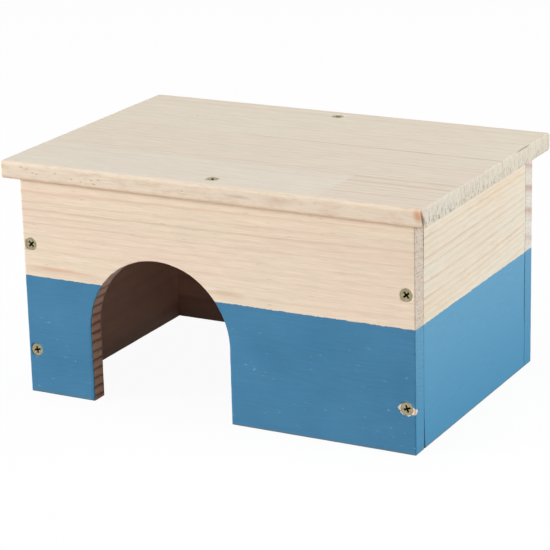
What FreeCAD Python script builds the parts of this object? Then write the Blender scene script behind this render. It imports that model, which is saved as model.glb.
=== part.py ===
"""Wooden hamster house: five pine boards screwed into an open-bottomed box.

The front and back boards run the full width. The two side boards stand between them, and the roof board lies
on top and overhangs all round. The front board has an arched doorway, left of its middle.
The house stands on its open bottom at Z 0, with +Z up, and its doorway faces -Y. The origin is under the middle
of the walls, which is the middle of the roof too. Lengths are millimetres.
"""

import FreeCAD, Part
import math
import os

import Sketcher

doc = FreeCAD.newDocument("hamster_house")

# Driving sizes
sheet = doc.addObject("Spreadsheet::Sheet", "sizes")
SIZES = {
    # walls
    "body_width": 235.0,
    "body_depth": 157.0,
    "wall_height": 123.5,
    "wall_board": 10.0,
    "edge_ease": 0.4,
    # roof
    "roof_board": 10.0,
    "end_overhang": 7.5,
    "eaves_overhang": 6.5,
    "roof_nose": 2.2,
    # doorway, a half circle on two straight sides
    "door_width": 86.0,
    "door_straight": 42.5,
    "door_shift": 33.2,
    # wood screws and where they go
    "low_screw_height": 25.0,
    "high_screw_height": 86.0,
    "screw_length": 30.0,
    "thread_diameter": 3.5,
    "point_length": 4.0,
    "head_diameter": 7.0,
    "head_angle": 90.0,
    "head_sink": 0.1,
    "recess_span": 4.2,
    "recess_floor": 1.4,
    "recess_slot": 1.0,
    "recess_depth": 1.8,
    # clearances round the screws
    "hole_clearance": 0.15,
    "thread_clearance": 0.05,
    "seat_clearance": 0.05,
    "pilot_spare": 1.0,
}
for row, (alias, value) in enumerate(SIZES.items(), start=1):
    sheet.set(f"A{row}", alias)
    sheet.set(f"B{row}", str(value))
    sheet.setAlias(f"B{row}", alias)
doc.recompute()

# Sizes that follow from the driving ones, as expressions
SCREW_LINE = "(sizes.body_width - sizes.wall_board) / 2"
WALL_LINE = "(sizes.body_depth - sizes.wall_board) / 2"
SIDE_LENGTH = "(sizes.body_depth - 2 * sizes.wall_board)"
ROOF_WIDTH = "(sizes.body_width + 2 * sizes.end_overhang)"
ROOF_DEPTH = "(sizes.body_depth + 2 * sizes.eaves_overhang)"
HALF_CONE = "(sizes.head_angle / 2 * 1 deg)"
CLEAR_HOLE = "(sizes.thread_diameter + 2 * sizes.hole_clearance)"
PILOT_HOLE = "(sizes.thread_diameter + 2 * sizes.thread_clearance)"
WALL_PILOT = "(sizes.screw_length + sizes.head_sink - sizes.wall_board + sizes.pilot_spare)"
ROOF_PILOT = "(sizes.screw_length + sizes.head_sink - sizes.roof_board + sizes.pilot_spare)"
COUNTERSINK = (
    "sizes.head_diameter + 2 * sizes.seat_clearance / cos" + HALF_CONE
    + " + 2 * sizes.head_sink * tan" + HALF_CONE
)


def size(expression):
    """The number that an expression in the sheet's sizes has now."""
    value = sheet.evalExpression(expression)
    return float(getattr(value, "Value", value))


def new_body(label):
    """An empty body for one piece of the house."""
    body = doc.addObject("PartDesign::Body", label)
    body.Label = label
    return body


def new_sketch(body, role, name, offset=None):
    """A sketch on one of the body's own origin planes, moved out along the plane's normal by offset."""
    sketch = body.newObject("Sketcher::SketchObject", name)
    plane = next(p for p in body.Origin.OriginFeatures if p.Role == role)
    sketch.AttachmentSupport = [(plane, "")]
    sketch.MapMode = "FlatFace"
    if offset:
        sketch.setExpression("AttachmentOffset.Base.z", offset)
    return sketch


def drive(sketch, name, expression, *geometry):
    """A named dimension of the sketch that follows the expression."""
    kind, where = geometry[0], geometry[1:]
    index = sketch.addConstraint(Sketcher.Constraint(kind, *where, size(expression)))
    sketch.renameConstraint(index, name)
    sketch.setExpression("Constraints." + name, expression)


def outline(sketch, corners):
    """A closed run of straight lines through the corners; line i starts at corner i."""
    count = len(corners)
    points = [FreeCAD.Vector(x, y, 0) for x, y in corners]
    for i in range(count):
        sketch.addGeometry(Part.LineSegment(points[i], points[(i + 1) % count]))
    for i in range(count):
        sketch.addConstraint(Sketcher.Constraint("Coincident", i, 2, (i + 1) % count, 1))


def square_up(sketch, level, upright):
    """Makes the lines listed in level horizontal and those in upright vertical."""
    for i in level:
        sketch.addConstraint(Sketcher.Constraint("Horizontal", i))
    for i in upright:
        sketch.addConstraint(Sketcher.Constraint("Vertical", i))


def pad(body, sketch, name, thickness):
    """A board as thick as the expression says, sawn to the sketch's outline."""
    feature = body.newObject("PartDesign::Pad", name)
    feature.Profile = sketch
    feature.setExpression("Length", thickness)
    doc.recompute()
    return feature


def every_edge(feature):
    return [f"Edge{i + 1}" for i in range(len(feature.Shape.Edges))]


def ease(body, board, name):
    """Takes the sharpness off every sawn edge of a wall board, as a pass of sandpaper does."""
    feature = body.newObject("PartDesign::Chamfer", name)
    feature.Base = (board, every_edge(board))
    feature.setExpression("Size", "sizes.edge_ease")
    doc.recompute()
    return feature


def circles(sketch, name, radius, centres):
    """Equal circles at centres, given as (x, y) pairs of expressions. Each is placed from the sketch's origin."""
    for i, (x, y) in enumerate(centres):
        centre = FreeCAD.Vector(size(x), size(y), 0)
        sketch.addGeometry(Part.Circle(centre, FreeCAD.Vector(0, 0, 1), size(radius)))
        if size(x) == 0:
            sketch.addConstraint(Sketcher.Constraint("PointOnObject", i, 3, -2))
        else:
            drive(sketch, f"{name}_x_{i}", x, "DistanceX", -1, 1, i, 3)
        if size(y) == 0:
            sketch.addConstraint(Sketcher.Constraint("PointOnObject", i, 3, -1))
        else:
            drive(sketch, f"{name}_y_{i}", y, "DistanceY", -1, 1, i, 3)
        if i:
            sketch.addConstraint(Sketcher.Constraint("Equal", 0, i))
    drive(sketch, name + "_radius", radius, "Radius", 0)


def screw_holes(body, sketch, name):
    """Clearance holes through the board, each with a seat for a countersunk head at the sketch's face."""
    doc.recompute()
    hole = body.newObject("PartDesign::Hole", name)
    hole.Profile = sketch
    hole.ThreadType = "None"
    hole.setExpression("Diameter", CLEAR_HOLE)
    hole.DepthType = "ThroughAll"
    hole.HoleCutType = "Countersink"
    hole.HoleCutCustomValues = True
    hole.setExpression("HoleCutDiameter", COUNTERSINK)
    hole.setExpression("HoleCutCountersinkAngle", "sizes.head_angle * 1 deg")
    doc.recompute()
    return hole


def pilot(body, sketch, name, depth):
    """Blind holes that hold the screws' threads, bored in from the sketch's face."""
    feature = body.newObject("PartDesign::Pocket", name)
    feature.Profile = sketch
    feature.setExpression("Length", depth)
    doc.recompute()
    return feature


def place(body, x, y, z, turn=None):
    """Puts the body's origin at the expressions x, y and z, turned as the rotation says."""
    body.Placement = FreeCAD.Placement(FreeCAD.Vector(), turn or FreeCAD.Rotation())
    for axis, expression in zip("xyz", (x, y, z)):
        body.setExpression("Placement.Base." + axis, expression)


HALF_TURN = FreeCAD.Rotation(FreeCAD.Vector(0, 0, 1), 180)

# Front and back boards
# Each is drawn from outside with its inner face in the sketch plane, and the back one is turned half round.


def plain_outline(sketch):
    """The back board's rectangle, standing on the sketch's horizontal axis."""
    half, top = size("sizes.body_width / 2"), size("sizes.wall_height")
    outline(sketch, [(-half, 0), (half, 0), (half, top), (-half, top)])
    square_up(sketch, level=(0, 2), upright=(1, 3))
    sketch.addConstraint(Sketcher.Constraint("Symmetric", 0, 1, 0, 2, -1, 1))
    drive(sketch, "width", "sizes.body_width", "DistanceX", 0, 1, 0, 2)
    drive(sketch, "height", "sizes.wall_height", "DistanceY", 1, 1, 1, 2)


def doorway_outline(sketch):
    """The front board's rectangle with the doorway cut up into it from below."""
    half, top = size("sizes.body_width / 2"), size("sizes.wall_height")
    radius, straight = size("sizes.door_width / 2"), size("sizes.door_straight")
    middle = -size("sizes.door_shift")
    left, right = middle - radius, middle + radius
    corners = [(left, straight), (left, 0), (-half, 0), (-half, top), (half, top), (half, 0), (right, 0)]
    corners.append((right, straight))
    points = [FreeCAD.Vector(x, y, 0) for x, y in corners]
    for start, end in zip(points, points[1:]):
        sketch.addGeometry(Part.LineSegment(start, end))
    circle = Part.Circle(FreeCAD.Vector(middle, straight, 0), FreeCAD.Vector(0, 0, 1), radius)
    arch = sketch.addGeometry(Part.ArcOfCircle(circle, 0, math.pi))
    for i in range(6):
        sketch.addConstraint(Sketcher.Constraint("Coincident", i, 2, i + 1, 1))
    sketch.addConstraint(Sketcher.Constraint("Tangent", 6, 2, arch, 1))
    sketch.addConstraint(Sketcher.Constraint("Tangent", arch, 2, 0, 1))
    square_up(sketch, level=(1,), upright=(0, 2, 4, 6))
    sketch.addConstraint(Sketcher.Constraint("PointOnObject", 4, 2, -1))
    sketch.addConstraint(Sketcher.Constraint("PointOnObject", 1, 1, -1))
    sketch.addConstraint(Sketcher.Constraint("PointOnObject", 5, 2, -1))
    sketch.addConstraint(Sketcher.Constraint("Symmetric", 3, 1, 3, 2, -2))
    drive(sketch, "width", "sizes.body_width", "DistanceX", 3, 1, 3, 2)
    drive(sketch, "height", "sizes.wall_height", "DistanceY", 2, 1, 2, 2)
    drive(sketch, "arch_radius", "sizes.door_width / 2", "Radius", arch)
    drive(sketch, "straight", "sizes.door_straight", "DistanceY", 6, 1, 6, 2)
    drive(sketch, "shift", "sizes.door_shift", "DistanceX", arch, 3, -1, 1)


def long_wall(label, draw, turn, sign):
    """A full-width board: four screws go through it, and one roof screw goes down into its top edge."""
    body = new_body(label)
    shape = new_sketch(body, "XZ_Plane", label + "_outline")
    draw(shape)
    board = pad(body, shape, label + "_board", "sizes.wall_board")
    ease(body, board, label + "_eased_edges")
    outside = new_sketch(body, "XZ_Plane", label + "_screw_places", offset="sizes.wall_board")
    centres = []
    for side in ("-", ""):
        for height in ("sizes.low_screw_height", "sizes.high_screw_height"):
            centres.append((side + SCREW_LINE, height))
    circles(outside, "screw", CLEAR_HOLE + " / 2", centres)
    screw_holes(body, outside, label + "_screw_holes")
    top = new_sketch(body, "XY_Plane", label + "_roof_screw_place", offset="sizes.wall_height")
    circles(top, "pilot", PILOT_HOLE + " / 2", [("0", "-sizes.wall_board / 2")])
    pilot(body, top, label + "_roof_screw_pilot", ROOF_PILOT)
    place(body, "0", sign + "(sizes.body_depth / 2 - sizes.wall_board)", "0", turn)
    return body


pieces = [
    long_wall("front_panel", doorway_outline, None, "-"),
    long_wall("back_panel", plain_outline, HALF_TURN, ""),
]

# Side boards
# They stand between the front and back boards and take the screws in their end grain.


def side_wall(label, turn, sign):
    """A side board, drawn from its inner face outwards, with two pilot holes in each end."""
    body = new_body(label)
    shape = new_sketch(body, "YZ_Plane", label + "_outline")
    half, top = size(SIDE_LENGTH + " / 2"), size("sizes.wall_height")
    outline(shape, [(-half, 0), (half, 0), (half, top), (-half, top)])
    square_up(shape, level=(0, 2), upright=(1, 3))
    shape.addConstraint(Sketcher.Constraint("Symmetric", 0, 1, 0, 2, -1, 1))
    drive(shape, "length", SIDE_LENGTH, "DistanceX", 0, 1, 0, 2)
    drive(shape, "height", "sizes.wall_height", "DistanceY", 1, 1, 1, 2)
    board = pad(body, shape, label + "_board", "sizes.wall_board")
    ease(body, board, label + "_eased_edges")
    end = new_sketch(body, "XZ_Plane", label + "_pilot_places", offset=SIDE_LENGTH + " / 2")
    heights = ("sizes.low_screw_height", "sizes.high_screw_height")
    circles(end, "pilot", PILOT_HOLE + " / 2", [("sizes.wall_board / 2", z) for z in heights])
    holes = pilot(body, end, label + "_pilots", WALL_PILOT)
    both = body.newObject("PartDesign::Mirrored", label + "_pilots_both_ends")
    both.Originals = [holes]
    both.MirrorPlane = (next(p for p in body.Origin.OriginFeatures if p.Role == "XZ_Plane"), [""])
    body.Tip = both
    place(body, sign + "(sizes.body_width / 2 - sizes.wall_board)", "0", "0", turn)
    doc.recompute()
    return body


pieces.append(side_wall("left_panel", HALF_TURN, "-"))
pieces.append(side_wall("right_panel", None, ""))

# Roof board
# Its grain runs with the width. Only its two long edges are rounded; the sawn ends stay square.


def roof_board():
    body = new_body("roof")
    shape = new_sketch(body, "XY_Plane", "roof_outline")
    half_width, half_depth = size(ROOF_WIDTH + " / 2"), size(ROOF_DEPTH + " / 2")
    corners = [(-half_width, -half_depth), (half_width, -half_depth), (half_width, half_depth)]
    corners.append((-half_width, half_depth))
    outline(shape, corners)
    square_up(shape, level=(0, 2), upright=(1, 3))
    shape.addConstraint(Sketcher.Constraint("Symmetric", 0, 1, 1, 2, -1, 1))
    drive(shape, "width", ROOF_WIDTH, "DistanceX", 0, 1, 0, 2)
    drive(shape, "depth", ROOF_DEPTH, "DistanceY", 1, 1, 1, 2)
    board = pad(body, shape, "roof_slab", "sizes.roof_board")
    long_edges = []
    for name, edge in zip(every_edge(board), board.Shape.Edges):
        if abs(edge.tangentAt(edge.FirstParameter).x) > 0.99:
            long_edges.append(name)
    nosing = body.newObject("PartDesign::Fillet", "roof_nosing")
    nosing.Base = (board, long_edges)
    nosing.setExpression("Radius", "min(sizes.roof_nose; sizes.roof_board * 0.45)")
    top = new_sketch(body, "XY_Plane", "roof_screw_places", offset="sizes.roof_board")
    circles(top, "screw", CLEAR_HOLE + " / 2", [("0", "-" + WALL_LINE), ("0", WALL_LINE)])
    screw_holes(body, top, "roof_screw_holes")
    place(body, "0", "0", "sizes.wall_height")
    doc.recompute()
    return body


pieces.append(roof_board())

# Wood screws
# Each is drawn pointing down from the middle of its head, and is turned to where it was driven.
CONE_DEPTH = "((sizes.head_diameter - sizes.thread_diameter) / 2 / tan" + HALF_CONE + ")"


def screw(label, direction, turn):
    """A countersunk wood screw, threaded all the way. Its shaft is a plain cylinder over the thread's crests."""
    body = new_body(label)
    shape = new_sketch(body, "XZ_Plane", label + "_profile")
    head, shaft = size("sizes.head_diameter / 2"), size("sizes.thread_diameter / 2")
    neck, length = size(CONE_DEPTH), size("sizes.screw_length")
    shoulder = length - size("sizes.point_length")
    outline(shape, [(0, 0), (head, 0), (shaft, -neck), (shaft, -shoulder), (0, -length)])
    square_up(shape, level=(0,), upright=(2, 4))
    shape.addConstraint(Sketcher.Constraint("Coincident", 0, 1, -1, 1))
    drive(shape, "head_radius", "sizes.head_diameter / 2", "DistanceX", 0, 1, 0, 2)
    drive(shape, "shaft_radius", "sizes.thread_diameter / 2", "DistanceX", -1, 1, 2, 1)
    drive(shape, "cone", CONE_DEPTH, "DistanceY", 1, 2, 1, 1)
    drive(shape, "point", "sizes.point_length", "DistanceY", 3, 2, 3, 1)
    drive(shape, "length", "sizes.screw_length", "DistanceY", 4, 1, 4, 2)
    turned = body.newObject("PartDesign::Revolution", label + "_turned")
    turned.Profile = shape
    turned.ReferenceAxis = (shape, ["V_Axis"])
    turned.Angle = 360
    doc.recompute()
    slot = new_sketch(body, "XZ_Plane", label + "_slot_profile")
    wide, narrow = size("sizes.recess_span / 2"), size("sizes.recess_floor / 2")
    deep = size("sizes.recess_depth")
    outline(slot, [(-wide, 0), (wide, 0), (narrow, -deep), (-narrow, -deep)])
    square_up(slot, level=(0,), upright=())
    slot.addConstraint(Sketcher.Constraint("Symmetric", 0, 1, 0, 2, -1, 1))
    slot.addConstraint(Sketcher.Constraint("Symmetric", 2, 1, 2, 2, -2))
    drive(slot, "span", "sizes.recess_span", "DistanceX", 0, 1, 0, 2)
    drive(slot, "floor", "sizes.recess_floor", "DistanceX", 2, 2, 2, 1)
    drive(slot, "depth", "sizes.recess_depth", "DistanceY", 1, 2, 1, 1)
    cut = body.newObject("PartDesign::Pocket", label + "_slot")
    cut.Profile = slot
    cut.Midplane = True
    cut.setExpression("Length", "sizes.recess_slot")
    doc.recompute()
    cross = body.newObject("PartDesign::PolarPattern", label + "_cross_recess")
    cross.Originals = [cut]
    cross.Axis = (shape, ["V_Axis"])
    cross.Angle = 90
    cross.Occurrences = 2
    body.Tip = cross
    doc.recompute()
    spin = FreeCAD.Rotation(FreeCAD.Vector(0, 0, 1), turn)
    return body, direction.multiply(spin)


UPRIGHT = FreeCAD.Rotation()
FACING_FRONT = FreeCAD.Rotation(FreeCAD.Vector(1, 0, 0), 90)
FACING_BACK = FreeCAD.Rotation(FreeCAD.Vector(1, 0, 0), -90)
HEAD_PLANE = "(sizes.body_depth / 2 - sizes.head_sink)"
LOW, HIGH = "sizes.low_screw_height", "sizes.high_screw_height"
ROOF_TOP = "sizes.wall_height + sizes.roof_board - sizes.head_sink"
# name, the way its head faces, where its head is, and how far its cross ended up turned, in degrees
SCREWS = [
    ("front_screw_low_left", FACING_FRONT, "-" + SCREW_LINE, "-" + HEAD_PLANE, LOW, 12),
    ("front_screw_high_left", FACING_FRONT, "-" + SCREW_LINE, "-" + HEAD_PLANE, HIGH, 45),
    ("front_screw_low_right", FACING_FRONT, SCREW_LINE, "-" + HEAD_PLANE, LOW, 20),
    ("front_screw_high_right", FACING_FRONT, SCREW_LINE, "-" + HEAD_PLANE, HIGH, 40),
    ("back_screw_low_left", FACING_BACK, "-" + SCREW_LINE, HEAD_PLANE, LOW, 33),
    ("back_screw_high_left", FACING_BACK, "-" + SCREW_LINE, HEAD_PLANE, HIGH, 71),
    ("back_screw_low_right", FACING_BACK, SCREW_LINE, HEAD_PLANE, LOW, 5),
    ("back_screw_high_right", FACING_BACK, SCREW_LINE, HEAD_PLANE, HIGH, 58),
    ("roof_screw_front", UPRIGHT, "0", "-" + WALL_LINE, ROOF_TOP, 30),
    ("roof_screw_back", UPRIGHT, "0", WALL_LINE, ROOF_TOP, 62),
]
for name, direction, x, y, z, turn in SCREWS:
    body, rotation = screw(name, direction, turn)
    place(body, x, y, z, rotation)
    pieces.append(body)
doc.recompute()

# Check every feature, then write one file for each piece
for item in doc.Objects:
    if "Invalid" in item.State or "Error" in item.State:
        raise RuntimeError(f"{item.Name} failed: {item.State}")
os.makedirs("parts", exist_ok=True)
for body in pieces:
    shape = body.Shape
    if shape.isNull() or not shape.isValid() or len(shape.Solids) != 1:
        raise RuntimeError(f"{body.Label} isn't one valid solid")
    shape.exportStep(os.path.join("parts", body.Label + ".step"))
    box = shape.BoundBox
    low = f"{box.XMin:.2f} {box.YMin:.2f} {box.ZMin:.2f}"
    high = f"{box.XMax:.2f} {box.YMax:.2f} {box.ZMax:.2f}"
    print(f"{body.Label}: {low} to {high}, {shape.Volume:.1f} cubic mm")
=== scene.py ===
"""A wooden hamster house: pine boards screwed into a box, with the lower half painted blue."""

import math

import bmesh
import bpy
import numpy as np
from mathutils import Matrix, Vector


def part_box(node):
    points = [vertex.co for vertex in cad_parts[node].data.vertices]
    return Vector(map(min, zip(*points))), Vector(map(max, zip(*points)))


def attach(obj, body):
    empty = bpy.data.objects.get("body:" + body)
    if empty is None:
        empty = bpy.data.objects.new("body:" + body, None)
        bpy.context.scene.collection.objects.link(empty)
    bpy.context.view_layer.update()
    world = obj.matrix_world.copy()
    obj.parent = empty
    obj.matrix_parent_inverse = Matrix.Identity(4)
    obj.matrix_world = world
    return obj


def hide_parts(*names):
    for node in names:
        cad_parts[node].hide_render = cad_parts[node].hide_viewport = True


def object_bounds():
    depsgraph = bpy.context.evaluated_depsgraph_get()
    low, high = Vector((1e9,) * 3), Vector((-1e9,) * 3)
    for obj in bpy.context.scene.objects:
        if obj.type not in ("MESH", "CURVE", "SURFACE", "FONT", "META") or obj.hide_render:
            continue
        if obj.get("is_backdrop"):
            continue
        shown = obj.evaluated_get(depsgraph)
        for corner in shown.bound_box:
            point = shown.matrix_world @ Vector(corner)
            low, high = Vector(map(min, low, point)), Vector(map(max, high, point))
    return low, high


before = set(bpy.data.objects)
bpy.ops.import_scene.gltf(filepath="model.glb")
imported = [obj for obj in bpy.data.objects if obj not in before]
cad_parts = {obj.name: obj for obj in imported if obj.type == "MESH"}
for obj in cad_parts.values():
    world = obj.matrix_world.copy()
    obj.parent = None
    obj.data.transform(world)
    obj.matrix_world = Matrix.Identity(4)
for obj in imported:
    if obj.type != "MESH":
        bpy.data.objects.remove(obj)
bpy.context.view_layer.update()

# Front board. The real piece is a planed pine board 10 mm thick, cross-cut to length, with an arched doorway
# sawn into it and its edges eased with sandpaper. Four countersunk screws hold it to the ends of the side
# boards, and its top edge takes a roof screw.
MM = 0.001
EASE = 0.4 * MM
FRONT_LOW, FRONT_HIGH = (np.array(corner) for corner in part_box("front_panel"))
BACK_LOW, BACK_HIGH = (np.array(corner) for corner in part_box("back_panel"))
ROOF_LOW, ROOF_HIGH = (np.array(corner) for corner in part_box("roof"))
BOARD = FRONT_HIGH[1] - FRONT_LOW[1]
WALL_TOP = FRONT_HIGH[2]
DOOR_MIDDLE = -33.2 * MM
DOOR_RADIUS = 43 * MM
DOOR_SPRING = 42.5 * MM
MOUTH = 3.58 * MM
LIP = 0.2 * MM
LEVEL_RING = 0.08 * MM
SHANK_HOLE = 1.9 * MM
PILOT_HOLE = 1.8 * MM
DRILL_SQUARE = 4.1 * MM
FAN = DRILL_SQUARE * np.tan(np.linspace(-math.pi / 4, math.pi / 4, 9))
CELL = 2.5 * MM
WELD = 0.002 * MM


def middle_of(node):
    """The middle of a node's box, in metres."""
    low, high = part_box(node)
    return (np.array(low) + np.array(high)) / 2


def grid_lines(start, stop, step, centres=()):
    """Line positions from start to stop, about step apart, with a short first and last gap. Round each centre
    they are spaced as the tangent of equal angles, so that a circle drawn there is divided evenly."""
    edge = 0.5 * MM
    marks = [start, start + edge, stop - edge, stop]
    for centre in centres:
        marks += [centre - DRILL_SQUARE, centre + DRILL_SQUARE]
    marks = np.unique(np.round(marks, 6))
    runs = []
    for a, b in zip(marks, marks[1:]):
        around = [centre for centre in centres if abs(centre - DRILL_SQUARE - a) < EASE / 10]
        runs.append(around[0] + FAN if around else np.linspace(a, b, math.ceil((b - a) / step) + 1))
    return np.unique(np.round(np.concatenate(runs), 8))


def joined(*coordinates):
    """An array of points, from an array or a single number for each coordinate."""
    return np.stack(np.broadcast_arrays(*coordinates), -1)


def rim_path(runs, turns=6):
    """Joins runs of (points, outward normals) into one closed outline. Where the next run faces another way,
    the normal swings from one to the other in equal steps at the shared corner."""
    points, normals = [], []
    for (here, facing), (_, next_facing) in zip(runs, runs[1:] + runs[:1]):
        points.append(here)
        normals.append(facing)
        first = math.atan2(facing[-1][1], facing[-1][0])
        swing = math.remainder(math.atan2(next_facing[0][1], next_facing[0][0]) - first, 2 * math.pi)
        if abs(swing) > 0.1:
            angles = first + swing * np.arange(1, turns) / turns
            points.append(np.repeat(here[-1:], turns - 1, 0))
            normals.append(np.stack([np.cos(angles), np.sin(angles)], -1))
    points.append(runs[0][0][:1])
    normals.append(runs[0][1][:1])
    return np.concatenate(points), np.concatenate(normals)


def straight(us, vs, facing):
    """A straight run of an outline along the given positions, with one outward normal."""
    points = joined(us, vs).astype(float)
    return points, np.broadcast_to(np.array(facing, float), points.shape)


def drilled(skin, holes):
    """The cells of a grid of points to keep, and extra grids for the holes that open on it. A hole is
    (centre, inward axis, rings), and its rings of radius and depth follow on from the square left out for
    it."""
    keep = np.ones((skin.shape[0] - 1, skin.shape[1] - 1), bool)
    extra = []
    for centre, axis, rings in holes:
        depth = (skin - centre) @ axis
        flat = np.abs(skin - centre - depth[..., None] * axis).max(-1)
        near = (np.abs(depth) < WELD / 2) & (flat < DRILL_SQUARE + WELD / 2)
        if not near.any():
            continue
        i = np.flatnonzero(near.any(1))
        j = np.flatnonzero(near.any(0))
        i0, i1, j0, j1 = i[0], i[-1], j[0], j[-1]
        keep[i0:i1, j0:j1] = False
        border = np.concatenate(
            [skin[i0, j0:j1], skin[i0:i1, j1], skin[i1, j1:j0:-1], skin[i1:i0:-1, j0], skin[i0, j0:j0 + 1]]
        )
        outward = (border - centre) / np.linalg.norm(border - centre, axis=1, keepdims=True)
        extra.append(np.stack([border] + [centre + r * outward + d * axis for r, d in rings]))
    return keep, extra


def ripple(points, wavelength, seed, waves=24):
    """Smooth random height, mostly within -1 to 1: a sum of sine waves of about one wavelength, in seeded
    random directions. A wavelength of three numbers stretches it differently along X, Y and Z."""
    rng = np.random.default_rng(seed)
    directions = rng.normal(size=(3, waves))
    directions /= np.linalg.norm(directions, axis=0)
    directions *= 2 * math.pi * rng.uniform(0.7, 1.4, waves)
    angles = (points / np.broadcast_to(wavelength, 3)) @ directions + rng.uniform(0, 2 * math.pi, waves)
    return np.sin(angles).sum(-1) / math.sqrt(waves)


def vertex_values(mesh, name):
    """The co or the normal of every vertex of a mesh, as rows of three numbers."""
    flat = np.empty(len(mesh.vertices) * 3, np.float32)
    mesh.vertices.foreach_get(name, flat)
    return flat.reshape(-1, 3).astype(float)


def make_piece(name, skins, holes=(), shape=None):
    """Joins grids of points into one closed skin: each grid becomes quads, shared borders are welded, and the
    faces are turned outwards. shape(points, normals) then moves the points a little, as wear does."""
    grids = []
    for skin in skins:
        keep, extra = drilled(skin, holes)
        grids.append((skin, keep))
        grids += [(grid, np.ones((grid.shape[0] - 1, grid.shape[1] - 1), bool)) for grid in extra]
    points, quads, start = [], [], 0
    for grid, keep in grids:
        index = start + np.arange(grid[..., 0].size).reshape(grid.shape[:2])
        corners = np.stack([index[:-1, :-1], index[1:, :-1], index[1:, 1:], index[:-1, 1:]], -1)
        quads.append(corners[keep])
        points.append(grid.reshape(-1, 3))
        start += grid[..., 0].size
    mesh = bpy.data.meshes.new(name)
    mesh.from_pydata(np.concatenate(points), [], np.concatenate(quads))
    skin_edit = bmesh.new()
    skin_edit.from_mesh(mesh)
    bmesh.ops.remove_doubles(skin_edit, verts=skin_edit.verts, dist=WELD)
    loose = [vertex for vertex in skin_edit.verts if not vertex.link_faces]
    bmesh.ops.delete(skin_edit, geom=loose, context="VERTS")
    bmesh.ops.recalc_face_normals(skin_edit, faces=skin_edit.faces)
    skin_edit.to_mesh(mesh)
    skin_edit.free()
    mesh.shade_smooth()
    if shape:
        moved = shape(vertex_values(mesh, "co"), vertex_values(mesh, "normal"))
        mesh.vertices.foreach_set("co", moved.astype(np.float32).ravel())
        mesh.update()
    piece = bpy.data.objects.new(name, mesh)
    bpy.context.collection.objects.link(piece)
    return piece


def eased_profile(thickness, ease, lines):
    """(Offset outwards, depth) round a board's edge: a quarter circle, the edge's flat, and a quarter
    circle."""
    turn = np.linspace(0, math.pi / 2, 4)
    front = joined(ease * np.sin(turn), ease * (1 - np.cos(turn)))
    flat = joined(ease, lines[1:-1])
    back = joined(ease * np.cos(turn), thickness - ease * (1 - np.sin(turn)))
    return np.concatenate([front, flat, back])


def board_skins(blocks, path, profile, place):
    """The grids of a board: its blocks of (u, v) at both faces, and a rim carried round its outline. place
    turns (u, v, depth) into points in space."""
    thickness = profile[-1, 1]
    skins = [place(block[..., 0], block[..., 1], depth) for block in blocks for depth in (0, thickness)]
    points, normals = path
    edge = points[:, None] + normals[:, None] * profile[None, :, :1]
    skins.append(place(edge[..., 0], edge[..., 1], profile[:, 1]))
    return skins


def plain_block(us, vs):
    """A rectangle of (u, v) points from its line positions."""
    return joined(us[:, None], vs)


def plain_path(us, vs):
    """The outline of a rectangle, starting along its bottom."""
    return rim_path([
        straight(us, vs[0], (0, -1)),
        straight(us[-1], vs, (1, 0)),
        straight(us[::-1], vs[-1], (0, 1)),
        straight(us[0], vs[::-1], (-1, 0)),
    ])


FULL_CORNER = 0.29


def handled_edges(seed, depth=0.12 * MM):
    """Wear for a board: its edges are rubbed back by up to depth, more in some places than in others. An edge
    is where a normal points between two axes, so that its largest part is less than 1."""
    def shape(points, normals):
        cornered = np.clip((1 - np.abs(normals).max(1)) / FULL_CORNER, 0, 1)
        rubbed = 0.5 + 0.7 * ripple(points, 9 * MM, seed) + 0.3 * ripple(points, 2.5 * MM, seed + 1)
        return points - normals * (depth * cornered * np.clip(rubbed, 0, 1))[:, None]
    return shape


SCREW_HEIGHTS = [middle_of("front_screw_low_left")[2], middle_of("front_screw_high_left")[2]]
SCREW_LINES = [middle_of("front_screw_low_left")[0], middle_of("front_screw_low_right")[0]]
DOOR_EASED = DOOR_RADIUS + EASE
SAW_STEP = 1.0 * MM
SAWN_ARC_STEPS, PLAIN_ARC_STEPS = 96, 26
front_us = grid_lines(FRONT_LOW[0] + EASE, FRONT_HIGH[0] - EASE, CELL, SCREW_LINES)
front_vs = np.unique(np.concatenate([
    grid_lines(FRONT_LOW[2] + EASE, DOOR_SPRING, SAW_STEP, SCREW_HEIGHTS[:1]),
    grid_lines(DOOR_SPRING, WALL_TOP - EASE, CELL, SCREW_HEIGHTS[1:]),
]))
left_us = np.append(front_us[front_us < DOOR_MIDDLE - DOOR_EASED - EASE], DOOR_MIDDLE - DOOR_EASED)
right_us = np.append(DOOR_MIDDLE + DOOR_EASED, front_us[front_us > DOOR_MIDDLE + DOOR_EASED + EASE])
leg_vs = front_vs[front_vs <= DOOR_SPRING]
over_vs = front_vs[front_vs >= DOOR_SPRING]
pilot_turns = np.arccos((DOOR_MIDDLE - FAN) / DOOR_EASED)
arch_turns = np.concatenate([
    np.linspace(0, pilot_turns[0], SAWN_ARC_STEPS)[:-1],
    pilot_turns,
    np.linspace(pilot_turns[-1], math.pi, PLAIN_ARC_STEPS)[1:],
])
arch_us = DOOR_MIDDLE - DOOR_EASED * np.cos(arch_turns)
arch_vs = DOOR_SPRING + DOOR_EASED * np.sin(arch_turns)
rise = (over_vs - DOOR_SPRING) / (over_vs[-1] - DOOR_SPRING)
over_arch = joined(arch_us[:, None], arch_vs[:, None] + rise * (over_vs[-1] - arch_vs[:, None]))
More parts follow.
